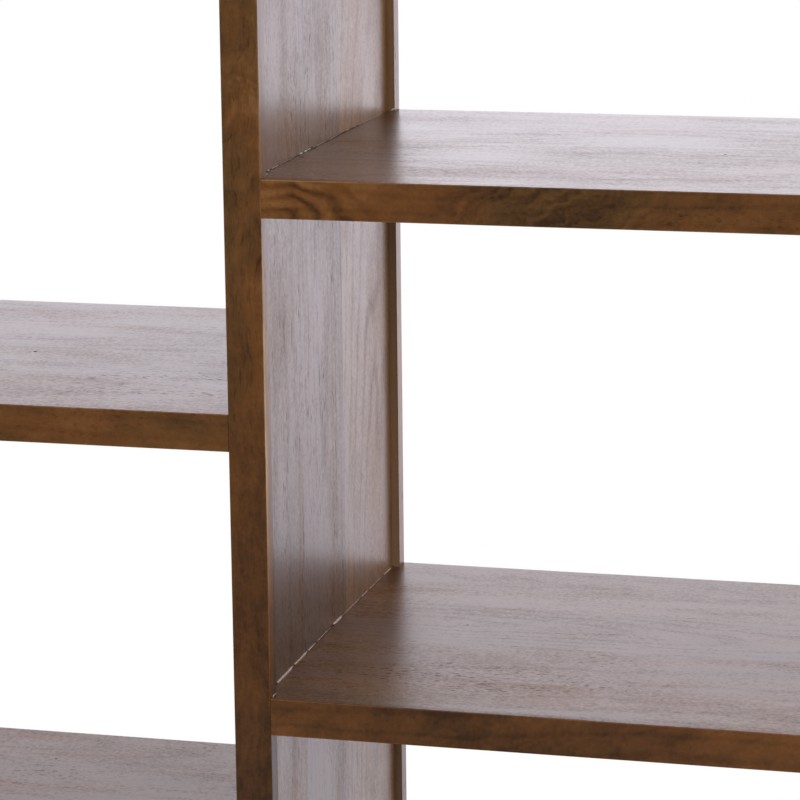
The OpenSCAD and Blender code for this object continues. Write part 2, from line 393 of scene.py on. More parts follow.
def wood_material(
    name, tone_shift=0.0, figure=1.0, blotches=0.08, speckle=1.0, line_cells=180, dash_cells=190,
):
    """Stained hardwood under satin lacquer, figured in the coordinates of the log."""
    finish = bpy.context.scene.shelving_finish
    material, graph = new_material(name)
    tone, warmth, curl = graph.split(stored_vector(graph, LOOK))
    rings, pores, shine = graph.split(stored_vector(graph, FIGURE))
    face = graph.add("ShaderNodeAttribute", {"attribute_name": FACE}, output="Fac")
    grain = swayed_grain(graph, curl)

    broad = graph.streaks(grain, 5.0, 17) - 0.5
    band = graph.streaks(grain, 26, 95) - 0.5
    fine = graph.streaks(grain, line_cells, 300) - 0.5
    fleck = (graph.streaks(grain, 400, 340) - 0.5) * speckle
    fibre = graph.streaks(grain, 150, 1400) - 0.5
    cloud = graph.streaks(grain, 12, 30, 3.0) - 0.5
    haze = graph.streaks(grain, 11, 30) - 0.5
    drift = graph.streaks(grain, 6, 15) - 0.5
    blotch = graph.streaks(grain, 38, 52, 3.0) - 0.5
    ring = growth_rings(graph, grain, finish.ring_spacing) * rings
    ripple = flame(graph, grain, haze + blotch) * curl
    knot = knot_whorls(graph, cloud, blotch, finish.whorl_spacing)
    pore, dash = open_pores(graph, grain, pores, dash_cells)

    blotchy = blotch * ((1.0 - face) * 0.36 + blotches)
    figured = (broad + cloud * 0.5) * (face * (0.85 * figure) + 0.40) + blotchy
    long_grain = face * 0.75 + curl * 0.45 + 0.10
    shade = (
        tone
        + face * 0.08
        + (0.42 + tone_shift)
        + figured * (0.90 - face * 0.38)
        + long_grain * (band * 0.18 + fine * 0.20 + fibre * 0.18)
        + fleck * (face * 0.06 + 0.22)
        + ripple * 0.45
        - haze * 0.12
        - ring * 0.20
        - knot * 0.34
        - pore * 0.20
        - dash * 0.34
    )
    cool = stain(graph, shade, finish.dark, finish.olive, finish.light)
    warm = stain(graph, shade, finish.dark, finish.orange, finish.light)
    hue = (warmth + 0.5 + drift * 1.9 + band * 0.6).ramp(0.1, 0.9)
    # Painted light: far cooler warmth, as on the rear strip's step, turns the stain to that grey,
    # which stands in for light reflected from the panel's lacquer
    painted_bounce_light = (warmth + drift * 1.5).ramp(-0.9, -1.7) * 0.80
    sanded = shade.ramp(1.0, 1.6) * (1.0 - painted_bounce_light)
    stained = graph.blend(painted_bounce_light, graph.blend(hue, cool, warm), finish.greyed)
    gloss = (
        0.82
        + shine
        - tone * 0.5
        + face * (0.18 - figured * 1.0 + haze * 0.5 + band * 0.25 + fine * 0.5 + fleck * 1.8)
        - pore * 0.6
        - dash * 1.5
        - ring * 0.40
    )
    height = fibre * 0.35 + fleck * 0.30 - pore * 0.9
    bump = {"Strength": 0.5, "Distance": finish.grain_depth, "Height": height}
    sockets = {
        "Base Color": graph.blend(sanded, stained, finish.bare),
        "Roughness": 0.40 + fleck * 0.20 + pore * 0.12,
        "IOR": 1.5,
        "Specular IOR Level": 0.35,
        "Coat Weight": (gloss * finish.lacquer).clamp(0.05, 1.0),
        "Coat Roughness": finish.lacquer_roughness,
        "Normal": graph.add("ShaderNodeBump", {}, bump),
    }
    finish_surface(graph, sockets)
    return material


def plain_material(name, shade, second_shade, cells, roughness, metallic=0.0, bump_depth=0.03 * MM):
    """A plain finish, mottled between two close colours, for filler, plastic, steel and dowels."""
    material, graph = new_material(name)
    place = graph.add("ShaderNodeTexCoord", output="Object")
    mottle = graph.add("ShaderNodeTexNoise", {}, {"Vector": place, "Scale": cells, "Detail": 3.0})
    bump = {"Strength": 0.6, "Distance": bump_depth, "Height": mottle}
    sockets = {
        "Base Color": graph.blend(mottle.ramp(0.35, 0.65), shade, second_shade),
        "Roughness": roughness + (mottle - 0.5) * 0.25,
        "Metallic": metallic,
        "Normal": graph.add("ShaderNodeBump", {}, bump),
    }
    finish_surface(graph, sockets)
    return material


# Boards


@dataclass
class Stave:
    """One glued strip of a board between two edges, its look, and where in a log it was sawn."""

    low: float
    high: float
    tone: float = 0.0
    warmth: float = 0.0
    curl: float = 0.0
    pith: float = 0.0
    depth: float = 0.05
    lean: float = 0.0
    rings: float = 0.35
    pores: float = 0.4
    shine: float = 0.0


def random_staves(rng, low, high, width):
    """Staves side by side from low to high, each from a log of its own."""
    count = max(1, round((high - low) / width))
    edges = [low]
    for i in range(1, count):
        edges.append(low + (high - low) * (i + rng.uniform(-0.22, 0.22)) / count)
    edges.append(high)
    staves = []
    for start, end in zip(edges, edges[1:]):
        middle = (start + end) / 2
        staves.append(
            Stave(
                start,
                end,
                tone=rng.uniform(-0.09, 0.09),
                warmth=rng.uniform(-0.30, 0.30),
                curl=rng.uniform(0.05, 0.45),
                pith=middle + rng.uniform(-0.035, 0.035),
                depth=rng.uniform(0.012, 0.085),
                lean=rng.choice((-1, 1)) * rng.uniform(0.02, 0.10),
            )
        )
    return staves


def milled_board(node, material, outline, grain, across, staves, rounding=()):
    """Puts a board with a plan outline in a node's place, sawn from staves that lie side by side."""
    low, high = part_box(node)
    marks = FIGURE_MARKS.get(node, ())
    name = f"{node}_milled"
    bm = bmesh.new()
    raise_outline(bm, outline, low.z, high.z)
    for chosen, radius in rounding:
        edges = [e for e in bm.edges if chosen(e.verts[0].co, e.verts[1].co)]
        bmesh.ops.bevel(
            bm, geom=edges, offset=radius, offset_type="OFFSET", segments=3, profile=0.5,
            affect="EDGES",
        )
    slice_board(bm, grain, across, staves, bool(marks))
    wear_faces(bm, high.z)
    mesh = bpy.data.meshes.new(name)
    bm.to_mesh(mesh)
    bm.free()
    mesh.set_sharp_from_angle(angle=SHARP_ANGLE)
    write_grain(mesh, random.Random(f"{name}_log"), grain, across, staves, marks)
    write_knots(mesh, grain, KNOTS.get(node, ()))
    mesh.materials.append(material)
    board = bpy.data.objects.new(name, mesh)
    bpy.context.scene.collection.objects.link(board)
    shading = board.modifiers.new("Flat faces", "WEIGHTED_NORMAL")
    shading.keep_sharp = True
    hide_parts(node)
    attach(board, BODY)


def raise_outline(bm, outline, bottom, top):
    """A closed block between two heights over a plan outline."""
    rings = [[bm.verts.new((x, y, z)) for x, y in outline] for z in (bottom, top)]
    bm.faces.new(rings[0][::-1])
    bm.faces.new(rings[1])
    for i in range(len(outline)):
        bm.faces.new((rings[0][i - 1], rings[0][i], rings[1][i], rings[1][i - 1]))


def slice_board(bm, grain, across, staves, patched):
    """Cuts a block between its staves and into slices, and a patched one into lanes as well."""
    settings = bpy.context.scene.shelving_boards
    for stave in staves[1:]:
        cut_across(bm, across, stave.low)
    if patched:
        cut_evenly(bm, across, staves[0].low, staves[-1].high, settings.patch_step)
    ends = [v.co[grain] for v in bm.verts]
    cut_evenly(bm, grain, min(ends), max(ends), settings.slice_step)


def cut_evenly(bm, axis, start, end, step):
    """Cuts across an axis at even distances, as close to a step as they come out."""
    count = max(1, round((end - start) / step))
    for i in range(1, count):
        cut_across(bm, axis, start + (end - start) * i / count)


def cut_across(bm, axis, at):
    point, normal = Vector(), Vector()
    point[axis], normal[axis] = at, 1.0
    everything = bm.verts[:] + bm.edges[:] + bm.faces[:]
    bmesh.ops.bisect_plane(bm, geom=everything, dist=WELD, plane_co=point, plane_no=normal)


def wear_faces(bm, seed_height):
    """Sands a board down unevenly, by a little more or less from place to place."""
    deepest = bpy.context.scene.shelving_boards.unevenness
    seed = Vector((0, 0, seed_height))
    bm.normal_update()
    for vertex in bm.verts:
        share = 0.5 + 0.5 * noise.noise(vertex.co * WEAR_CELLS + seed)
        vertex.co -= vertex.normal * (deepest * share)


def write_grain(mesh, rng, grain, across, staves, marks):
    """Stores where in its stave's log each corner lay, the stave's look and the wide faces."""
    through = 3 - grain - across
    places = mesh.attributes.new(LOG, "FLOAT_VECTOR", "CORNER")
    traits = {name: mesh.attributes.new(name, "FLOAT_VECTOR", "CORNER") for name in TRAITS}
    faces = mesh.attributes.new(FACE, "FLOAT", "FACE")
    sawn = [(rng.uniform(-9, 9), rng.choice((-1, 1))) for _ in staves]
    heights = [v.co[through] for v in mesh.vertices]
    middle = (min(heights) + max(heights)) / 2
    for polygon in mesh.polygons:
        at = polygon.center[across]
        index = next((i for i, s in enumerate(staves) if at <= s.high), len(staves) - 1)
        stave, (shift, side) = staves[index], sawn[index]
        faces.data[polygon.index].value = abs(polygon.normal[through])
        wear_and_joint_shade = edge_wear_and_joint_shade(polygon, grain)
        for corner in polygon.loop_indices:
            co = mesh.vertices[mesh.loops[corner].vertex_index].co
            depth = side * (co[through] - middle) + stave.depth + stave.lean * co[grain]
            places.data[corner].vector = (co[grain] + shift, co[across] - stave.pith, depth)
            near = [(mark["changes"], mark_strength(mark, co)) for mark in marks]
            # Rubbed edges lighter; rounded edges at a joint darker, painted shade of the gap with
            # pooled stain
            near.append(({"tone": wear_and_joint_shade}, 1.0))
            for name, keys in TRAITS.items():
                traits[name].data[corner].vector = [
                    getattr(stave, key) + sum(part.get(key, 0.0) * share for part, share in near)
                    for key in keys
                ]


def edge_wear_and_joint_shade(polygon, grain):
    """How much lighter a rounded edge is where it is rubbed, or darker at a board's end, where painted
    shade of the joint's gap lies with pooled stain.
    """
    finish = bpy.context.scene.shelving_finish
    if max(abs(part) for part in polygon.normal) > FLAT:
        return 0.0
    # Painted shade of the joint's gap, with pooled stain, on edges rounded at a board's end
    if abs(polygon.normal[grain]) > END_SHARE:
        return -finish.joint_shade_and_stain
    return finish.worn_edges * max(0.0, 1.0 + 2.0 * noise.noise(polygon.center * RUB_CELLS))


def write_knots(mesh, grain, knots):
    """Stores how far each corner lies from its face's nearest knot, which is long along the grain."""
    reaches = mesh.attributes.new(KNOT, "FLOAT_VECTOR", "CORNER")
    for polygon in mesh.polygons:
        centre = polygon.center
        knot = min(knots, key=lambda place: (place - centre).length, default=centre + FAR_AWAY)
        for corner in polygon.loop_indices:
            offset = mesh.vertices[mesh.loops[corner].vertex_index].co - knot
            offset[grain] /= KNOT_STRETCH
            reaches.data[corner].vector = offset


def mark_strength(mark, co):
    """How strongly a local darker or curlier patch shows at a point, from 0 to 1."""
    away = [(co[i] - mark["at"][i]) / mark["reach"][i] for i in range(3)]
    return math.exp(-sum(a * a for a in away))


def patch(at, reach, **changes):
    """A local patch of a board: its middle and reach in mm, and how its traits differ there."""
    return {"at": Vector(at) * MM, "reach": Vector(reach) * MM, "changes": changes}


def along(axis, first, second):
    """Whether an edge runs along an axis."""
    run = second - first
    return abs(run[axis]) > FLAT * run.length


def every_edge(first, second):
    """Chooses each edge of a board, to be rounded all over."""
    return True


def rectangle(low, high):
    return [(low.x, low.y), (high.x, low.y), (high.x, high.y), (low.x, high.y)]


def stepped_outline(node):
    """Plan of a board whose ends reach between the strips to the hollow faces of the panels."""
    low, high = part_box(node)
    corners = [v.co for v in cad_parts[node].data.vertices]
    middle = (low.x + high.x) / 2
    half = max(abs(c.x - middle) for c in corners if c.y < low.y + TOUCH)
    step = max(c.y for c in corners if c.x < low.x + TOUCH)
    inner_low, inner_high = middle - half, middle + half
    return [
        (inner_low, low.y),
        (inner_high, low.y),
        (inner_high, -step),
        *hollow_line(high.x, -1, -step, step),
        (inner_high, step),
        (inner_high, high.y),
        (inner_low, high.y),
        (inner_low, step),
        *hollow_line(low.x, 1, step, -step),
        (inner_low, -step),
    ]


def hollow_at(y, edge):
    """How far a panel's face lies back at a depth: nothing at its edges and most in the middle."""
    hollow = bpy.context.scene.shelving_boards.panel_hollow
    return hollow * max(0.0, 1.0 - (y / edge) ** 2)


def hollow_line(x, outward, start, end):
    """Plan of a panel's hollow face from one depth to another, where outward is 1 or -1."""
    edge = abs(start)
    depths = [start + (end - start) * i / HOLLOW_STEPS for i in range(HOLLOW_STEPS + 1)]
    return [(x - outward * hollow_at(y, edge), y) for y in depths]


def shelf_rounding(low, high):
    """Which edges of a shelf are rounded, and how far: its long ones and those at the panels."""
    settings = bpy.context.scene.shelving_boards

    def long_edge(a, b):
        return along(X, a, b) and min(abs(a.y - low.y), abs(a.y - high.y)) < TOUCH

    def joint_edge(a, b):
        at_end = a.x < low.x + TOUCH or a.x > high.x - TOUCH
        return at_end and along(Y, a, b)

    return [(long_edge, settings.arris), (joint_edge, settings.joint_arris)]


def staves_of(node, low, high):
    """The staves chosen for a board, or random ones from low to high."""
    width = bpy.context.scene.shelving_boards.stave_width
    return FIGURED_STAVES.get(node) or random_staves(random.Random(node), low, high, width)


# Each stave's two edges in metres, then its tone, warmth, curl, pith, depth, lean, rings, pores
# and shine
FIGURED_STAVES = {
    "right_shelf_4": (
        Stave(-0.175, -0.083, 0.04, 0.05, 0.30, -0.120, 0.045, 0.03, 0.35, 0.25),
        Stave(-0.083, 0.012, 0.00, -0.10, 0.20, -0.030, 0.070, -0.05, 0.35, 0.3),
        Stave(0.012, 0.098, -0.05, 0.05, 0.15, 0.060, 0.020, 0.06, 0.4, 0.25),
        Stave(0.098, 0.175, 0.05, -0.15, 0.20, 0.130, 0.060, 0.03, 0.35, 0.2),
    ),
    "right_shelf_3": (
        Stave(-0.175, -0.105, 0.12, 0.10, 0.45, -0.140, 0.060, 0.02, 0.35, 0.3, -0.07),
        Stave(-0.105, -0.022, -0.02, 0.15, 0.45, -0.050, 0.080, 0.04, 0.35, 0.45, 0.05),
        Stave(-0.022, 0.068, -0.08, 0.05, 0.30, 0.026, 0.012, 0.11, 0.55, 0.25, 0.11),
        Stave(0.068, 0.112, 0.12, 0.30, 0.35, 0.090, 0.050, -0.04, 0.35, 0.25, 0.05),
        Stave(0.112, 0.175, -0.03, 0.05, 0.30, 0.140, 0.060, 0.05, 0.35, 0.25, 0.07),
    ),
    "left_shelf_3": (
        Stave(-0.175, -0.078, 0.04, 0.10, 0.25, -0.130, 0.055, 0.03, 0.35, 0.25),
        Stave(-0.078, 0.010, 0.02, -0.05, 0.15, -0.030, 0.065, -0.03, 0.35, 0.3),
        Stave(0.010, 0.096, -0.06, 0.05, 0.15, 0.055, 0.045, 0.05, 0.35, 0.25),
        Stave(0.096, 0.175, 0.03, 0.00, 0.15, 0.140, 0.060, 0.03, 0.35, 0.2),
    ),
    "divider_panel": (
        Stave(-0.167, -0.068, -0.05, 0.05, 0.20, -0.110, 0.060, 0.02, 0.4, 0.45, -0.04),
        Stave(-0.068, 0.035, -0.10, -0.10, 0.20, -0.015, 0.045, -0.03, 0.4, 0.45, -0.04),
        Stave(0.035, 0.167, 0.30, 0.10, 0.50, 0.155, 0.022, 0.10, 0.45, 0.2, 0.12),
    ),
}

# The middle of each knot, in metres
KNOTS = {"right_shelf_4": (Vector((0.0175, -0.180, 1.239)),)}

# Patches of boards whose wood differs from their staves', and patches that paint light and shade into
# a board's tone, each marked below
FIGURE_MARKS = {
    "right_shelf_4": (
        patch((17, -175, 1239), (70, 10, 60), warmth=0.1, tone=0.10, shine=-0.6),
        patch((80, -175, 1250), (60, 10, 60), tone=0.04),
        patch((120, -175, 1250), (50, 10, 60), tone=-0.10, warmth=0.6),
        patch((70, -20, 1264), (75, 175, 6), tone=0.10),
        patch((195, -175, 1250), (58, 12, 60), warmth=-0.7, curl=1.9, tone=-0.13),
        patch((330, -175, 1250), (90, 12, 60), tone=-0.05, warmth=0.2),
    ),
    "left_shelf_3": (patch((-60, -100, 1111), (70, 35, 6), pores=1.3),),
    "divider_panel": (
        patch((9, -30, 1135), (5, 26, 60), curl=0.9, tone=-0.04),
        patch((9, 0, 1330), (5, 22, 60), curl=0.5, tone=-0.08),
        patch((9, 60, 1000), (5, 35, 60), warmth=-0.4, tone=-0.12),
        patch((7, -120, 960), (5, 60, 70), warmth=-0.7, tone=-0.20, shine=-0.15),
        patch((7, -10, 945), (5, 150, 30), tone=-0.08, shine=-0.15),
        patch((7, -40, 1285), (5, 150, 26), tone=0.20, shine=0.22),
        patch((7, 154, 1100), (5, 20, 2000), tone=0.15, shine=0.20),
        patch((7, 100, 1120), (5, 36, 80), curl=0.8, rings=0.6),
    ),
    "right_shelf_3": (
        patch((260, -120, 922), (190, 45, 5), warmth=0.3, tone=0.08),
        patch((125, -105, 922), (60, 26, 5), pores=1.8),
        patch((20, 20, 922), (60, 120, 5), warmth=0.7, tone=0.08),
        patch((22, 36, 922), (17, 10, 5), warmth=0.8, tone=0.26, shine=-0.50),
        patch((33, -54, 922), (18, 9, 5), warmth=0.8, tone=0.26, shine=-0.50),
        patch((22, 75, 922), (14, 20, 5), warmth=0.6, tone=0.12, shine=-0.20),
        patch((105, -88, 922), (80, 16, 5), warmth=0.6, tone=0.05, pores=0.6),
        patch((250, -170, 922), (400, 14, 5), warmth=-0.6, shine=0.08),
        patch((200, -175, 908), (400, 6, 22), warmth=1.2, tone=-0.20, shine=-0.75, pores=-0.3),
        patch((150, -175, 908), (75, 6, 14), tone=-0.24, shine=-0.4),
    ),
    "divider_front_strip": (
        patch((12.5, -175, 1090), (0.3, 8, 150), tone=1.3, warmth=0.3, shine=-0.5),
        patch((12.5, -168, 1100), (0.3, 12, 900), shine=0.20),
        # Painted shade: the fall of light from above painted into the front's tone, lighter high up
        # here and at 1330 mm
        patch((0, -175, 1520), (60, 60, 160), tone=0.06),
        patch((0, -175, 1330), (60, 60, 120), tone=0.04, curl=0.5),
        patch((0, -175, 1272), (20, 3, 24), tone=-0.10, curl=0.4),
        patch((1, -175, 1308), (7, 3, 14), tone=0.14, warmth=0.3),
        patch((9, -175, 1222), (5, 3, 17), tone=-0.26),
        # Painted shade: darker, warmer and less glossy towards the bottom, on the front here and at
        # 770 mm, and on the side at 890 mm
        patch((0, -175, 850), (60, 60, 230), tone=-0.28, warmth=1.0, shine=-0.8, pores=-0.35),
        patch((0, -175, 1020), (60, 60, 90), tone=0.03),
        patch((0, -175, 770), (60, 60, 90), tone=-0.06, shine=-0.4),
        patch((12.5, -175, 890), (0.3, 8, 110), tone=-0.30),
        patch((-10, -175, 800), (6, 6, 150), warmth=0.8, tone=0.05),
    ),
    "divider_rear_strip": (
        patch((12.5, 168, 1050), (0.3, 12, 170), tone=1.15, warmth=0.2, shine=0.4),
        # Painted light: the step's grey, which stands in for pale light the panel's lacquer reflects
        # onto it, and a little lighter above the upper shelf
        patch((12.5, 161, 1100), (11, 0.5, 900), warmth=-2.4),
        patch((12.5, 161, 1310), (11, 0.5, 90), tone=0.12),
        # Painted shade: a dark line down the step's outer rounded edge
        patch((12.5, 161, 1100), (0.6, 0.5, 900), tone=-0.6, warmth=2.0),
    ),
}


class ShelvingBuilder:
    """What the operators that build pieces have in common."""

    bl_options = {"REGISTER", "UNDO"}


class SHELVING_OT_make_uprights(ShelvingBuilder, bpy.types.Operator):
    """Build the three uprights, each a front strip, a rear strip and a thinner panel"""

    bl_idname = "shelving.make_uprights"
    bl_label = "Make the Uprights"

    def execute(self, context):
        strip_wood = wood_material(
            "strip_wood", tone_shift=-0.04, figure=0.70, blotches=0.26, speckle=0.40,
            line_cells=80, dash_cells=90,
        )
        panel_wood = wood_material(
            "panel_wood", figure=1.3, speckle=0.7, line_cells=110, dash_cells=95,
        )
        for side in SIDES:
            for end in ("front", "rear"):
                self.make_strip(f"{side}_{end}_strip", strip_wood)
            self.make_panel(f"{side}_panel", f"{side}_front_strip", panel_wood)
        return {"FINISHED"}

    def make_strip(self, node, material):
        low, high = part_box(node)
        rng = random.Random(node)
        stave = Stave(
            low.x,
            high.x,
            warmth=rng.uniform(-0.2, 0.2),
            curl=rng.uniform(0.3, 0.6),
            pith=(low.x + high.x) / 2 + rng.uniform(-0.03, 0.03),
            depth=rng.uniform(0.02, 0.06),
            lean=rng.uniform(-0.03, 0.03),
        )
        rounding = [(partial(along, Z), bpy.context.scene.shelving_boards.arris)]
        outline = rectangle(low, high)
        milled_board(node, material, outline, Z, X, [stave], rounding)

    def make_panel(self, node, strip, material):
        """A panel as it shows between its strips, its tongues left out."""
        low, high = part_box(node)
        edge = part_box(strip)[1].y
        outline = hollow_line(high.x, 1, edge, -edge) + hollow_line(low.x, -1, -edge, edge)
        staves = staves_of(node, edge, -edge)
        milled_board(node, material, outline, Z, Y, staves)


class SHELVING_OT_make_boards(ShelvingBuilder, bpy.types.Operator):
    """Build the top board, the bottom boards and the shelves"""

    bl_idname = "shelving.make_boards"
    bl_label = "Make the Boards and Shelves"

    def execute(self, context):
        board_wood = wood_material("board_wood", figure=1.05)
        low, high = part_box(TOP_BOARD)
        all_round = [(every_edge, context.scene.shelving_boards.arris)]
        self.make_board(TOP_BOARD, rectangle(low, high), all_round, board_wood)
        for node in COLUMN_BOARDS:
            rounding = shelf_rounding(*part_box(node))
            self.make_board(node, stepped_outline(node), rounding, board_wood)
        return {"FINISHED"}

    def make_board(self, node, outline, rounding, material):
        low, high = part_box(node)
        staves = staves_of(node, low.y, high.y)
        milled_board(node, material, outline, X, Y, staves, rounding)


class SHELVING_OT_make_rails(ShelvingBuilder, bpy.types.Operator):
    """Build the rails under the bottom boards"""

    bl_idname = "shelving.make_rails"
    bl_label = "Make the Rails"

    def execute(self, context):
        rail_wood = wood_material("rail_wood", tone_shift=-0.03)
        rounding = [(partial(along, X), context.scene.shelving_boards.arris)]
        for node in RAILS:
            low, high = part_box(node)
            rng = random.Random(node)
            tone, warmth = rng.uniform(-0.05, 0.05), rng.uniform(-0.2, 0.2)
            stave = Stave(low.y, high.y, tone=tone, warmth=warmth, curl=0.3)
            outline = rectangle(low, high)
            milled_board(node, rail_wood, outline, X, Y, [stave], rounding)
        return {"FINISHED"}


# Glue and filler along the joints

# Runs of filler in view at a shelf's left end: where each starts and ends in depth, and its
# radius, in mm
SHOWN_RUNS = {
    "right_shelf_3": (
        (-141, -101, 0.90),
        (-98, -66, 0.80),
        (-64, -45, 0.55),
        (-42, -4, 0.36),
        (1, 23, 1.10),
        (25, 74, 0.27),
        (75, 93, 0.48),
        (95, 131, 0.30),
        (137, 158, 0.48),
    ),
    "right_shelf_4": (
        (-140, -136, 0.75),
        (-130, -115, 0.50),
        (-112, -74, 0.24),
        (-64, -57, 0.80),
        (-53, -46, 0.90),
        (-44, -38, 0.75),
        (-32, -26, 0.50),
        (-25, 7, 0.28),
        (8, 35, 0.36),
        (54, 60, 0.48),
        (71, 76, 0.52),
        (85, 91, 0.52),
        (91, 150, 0.24),
    ),
}
# Thin dark lines beside those runs, painted shadow of the gap along each joint, in the same terms
JOINT_SHADOW_LINES = {
    "right_shelf_4": ((-160, -66, 0.30), (-46, -22, 0.42), (-18, 92, 0.34)),
    "right_shelf_3": ((-160, -120, 0.20), (-62, 30, 0.34), (60, 130, 0.24)),
}
# Short hairs of filler that lie across a joint: their points and their radius, in mm
HAIRLINES = (
    (((12.7, -171.5, 922.3), (12.7, -168.0, 922.4), (12.6, -161.0, 922.3)), 0.40),
    (((11.2, -157.6, 1264.4), (10.8, -155.7, 1264.6), (10.4, -153.8, 1264.4)), 0.70),
    (((9.5, 160.4, 1264.3), (11.2, 160.2, 1265.6), (12.8, 160.6, 1266.2)), 1.00),
)
# Pin knots and dark spots: their place in mm, their board, and their length and radius in mm
PIN_KNOTS = (
    (98, 21, "right_shelf_3", 1.8, 1.1),
    (282, -13, "right_shelf_4", 1.4, 0.9),
    (10.5, -74, "right_shelf_4", 4.5, 0.9),
    (-207, -7, "left_shelf_3", 2.6, 1.3),
    (-247, 111, "left_shelf_2", 1.8, 0.9),
)

# Depth in mm at which the random runs out of view start, and past which none starts or ends
RUNS_FROM = -158
LAST_START = 140
RUNS_TO = 156
# Flat sides round a bead, and the distance between its rings
BEAD_SIDES = 7
BEAD_STEP = 2.6 * MM


def add_bead(bm, rng, points, radius, squash=1.0):
    """A closed lumpy run along points. It tapers at its ends."""
    rings = []
    for i, point in enumerate(points):
        share = i / (len(points) - 1)
        swell = min(1.0, 0.35 + 4 * min(share, 1 - share)) * rng.uniform(0.72, 1.2)
        direction = points[min(i + 1, len(points) - 1)] - points[max(i - 1, 0)]
        turn = direction.to_track_quat("Z", "Y").to_matrix()
        ring = []
        for k in range(BEAD_SIDES):
            angle = 2 * math.pi * k / BEAD_SIDES
            reach = radius * swell * rng.uniform(0.85, 1.1)
            offset = turn @ Vector((math.cos(angle) * reach, math.sin(angle) * reach, 0))
            offset.z *= squash
            ring.append(bm.verts.new(point + offset))
        rings.append(ring)
    for first, second in zip(rings, rings[1:]):
        for k in range(BEAD_SIDES):
            bm.faces.new((first[k - 1], first[k], second[k], second[k - 1]))
    bm.faces.new(rings[0][::-1])
    bm.faces.new(rings[-1])


def finish_beads(name, bm, material):
    """Turns all the beads of a finish into one piece."""
    bmesh.ops.recalc_face_normals(bm, faces=bm.faces[:])
    mesh = bpy.data.meshes.new(name)
    bm.to_mesh(mesh)
    bm.free()
    mesh.shade_smooth()
    beads = bpy.data.objects.new(name, mesh)
    bpy.context.scene.collection.objects.link(beads)
    mesh.materials.append(material)
    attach(beads, BODY)


class SHELVING_OT_fill_joints(ShelvingBuilder, bpy.types.Operator):
    """Add the dried filler and the painted shadow lines between shelves and panels, and the shelves'
    pin knots
    """

    bl_idname = "shelving.fill_joints"
    bl_label = "Fill the Joints"

    def execute(self, context):
        self.add_filler(tuple(context.scene.shelving_finish.filler))
        self.add_dark_spots()
        return {"FINISHED"}

    def add_filler(self, shade):
        bm = bmesh.new()
        for node in COLUMN_BOARDS:
            low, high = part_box(node)
            for inward, face in ((1, low.x), (-1, high.x)):
                rng = random.Random(f"{node}{inward}")
                shown = SHOWN_RUNS.get(node) if inward == 1 else None
                for start, end, radius in shown or self.random_runs(rng):
                    self.add_run(bm, rng, (start * MM, end * MM), radius * MM, face, inward, high.z)
        for points, radius in HAIRLINES:
            add_bead(bm, random.Random(radius), [Vector(p) * MM for p in points], radius * MM)
        darker = tuple(0.72 * part for part in shade)
        material = plain_material("joint_filler", darker, shade, cells=400, roughness=0.6)
        finish_beads("joint_filler", bm, material)

    def add_dark_spots(self):
        """The dark lines at the joints, just inside the filler, which are painted shadow of each
        joint's gap, and the shelves' pin knots.
        """
        bm = bmesh.new()
        sunk = 0.1 * MM
        # Near-black runs along each joint: painted shadow of the gap between shelf and panel
        for node, lines in JOINT_SHADOW_LINES.items():
            low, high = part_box(node)
            rng = random.Random(f"{node}_stain")
            for start, end, radius in lines:
                span = (start * MM, end * MM)
                self.add_run(bm, rng, span, radius * MM, low.x + 0.55 * MM, 1, high.z - sunk)
        for x, y, node, size, radius in PIN_KNOTS:
            middle = Vector((x * MM, y * MM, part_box(node)[1].z - sunk))
            points = [middle + Vector((size * MM * (i / 4 - 0.5), 0, 0)) for i in range(5)]
            add_bead(bm, random.Random(f"{node}_knot"), points, radius * MM, squash=0.22)
        # Near black, for the painted joint shadows and the pin knots
        material = plain_material(
            "dark_spots", (0.012, 0.008, 0.006), (0.03, 0.016, 0.01), cells=900, roughness=0.5,
        )
        finish_beads("dark_spots", bm, material)

    def random_runs(self, rng):
        """Runs of filler of random lengths and gaps, as start, end and radius in mm."""
        runs, at = [], RUNS_FROM
        while at < LAST_START:
            size = rng.uniform(6, 38)
            runs.append((at, min(at + size, RUNS_TO), rng.uniform(0.3, 0.85)))
            at += size + rng.uniform(3, 40)
        return runs

    def add_run(self, bm, rng, span, radius, face, inward, top):
        """A bead along the joint between a board's top and the hollow face of a panel."""
        start, end = span
        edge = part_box("divider_rear_strip")[0].y
        count = max(3, round((end - start) / BEAD_STEP) + 1)
        points = []
        for i in range(count):
            y = start + (end - start) * i / (count - 1)
            drift = rng.uniform(-0.12, 0.12) * MM
            x = face + inward * (0.15 * radius + drift - hollow_at(y, edge))
            z = top + 0.45 * radius + rng.uniform(-0.08, 0.08) * MM
            points.append(Vector((x, y, z)))
        add_bead(bm, rng, points, radius)


class SHELVING_OT_finish_fittings(ShelvingBuilder, bpy.types.Operator):
    """Give the dowels, glides, nails, brackets and screws their finishes"""

    bl_idname = "shelving.finish_fittings"
    bl_label = "Finish the Fittings"

    def execute(self, context):
        dowel = plain_material(
            "dowel_wood", (0.50, 0.33, 0.18), (0.62, 0.44, 0.26), cells=260, roughness=0.6,
        )
        glide = plain_material(
            "glide_plastic", (0.03, 0.022, 0.018), (0.05, 0.038, 0.03), cells=700, roughness=0.45,
        )
        steel = plain_material(
            "plated_steel", (0.60, 0.60, 0.58), (0.72, 0.71, 0.68), cells=350, roughness=0.32,
            metallic=1.0,
        )
        finishes = {
            **dict.fromkeys(DOWELS, dowel),
            "floor_glides": glide,
            "glide_nails": steel,
            "wall_brackets": steel,
            "bracket_screws": steel,
        }
        for node, material in finishes.items():
            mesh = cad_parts[node].data
            mesh.materials.clear()
            mesh.materials.append(material)
        return {"FINISHED"}


# Studio


